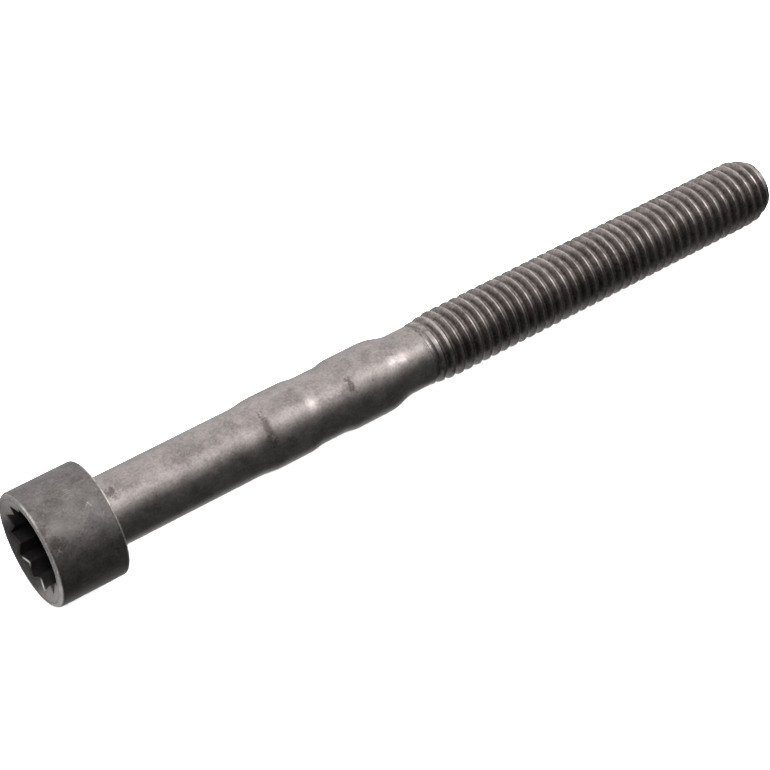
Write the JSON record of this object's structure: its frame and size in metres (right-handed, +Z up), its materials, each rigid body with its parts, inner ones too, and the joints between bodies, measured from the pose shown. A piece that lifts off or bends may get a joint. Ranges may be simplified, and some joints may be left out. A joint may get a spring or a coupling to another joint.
{
  "type": "valve adjusting cap screw",
  "caption": "Long cap screw for valve gear: round head with an internal star drive, plain shank with raised guide lands, a neck and a long threaded end with a chamfered tip.",
  "frame": {"origin": "on the surface the screw lies on, under the middle of its bounding box", "axes": "+X from the head to the tip along the lying screw, whose axis dips 1.67 degrees towards the tip; +Z up; +Y across"},
  "size_m": [0.0982, 0.013, 0.0132],
  "materials": {
    "phosphated_steel": "dark matt phosphate over rolled and forged steel, rubbed bright on rims and thread crests"
  },
  "bodies": {
    "root": {"screw": "phosphated_steel"}
  },
  "joints": []
}
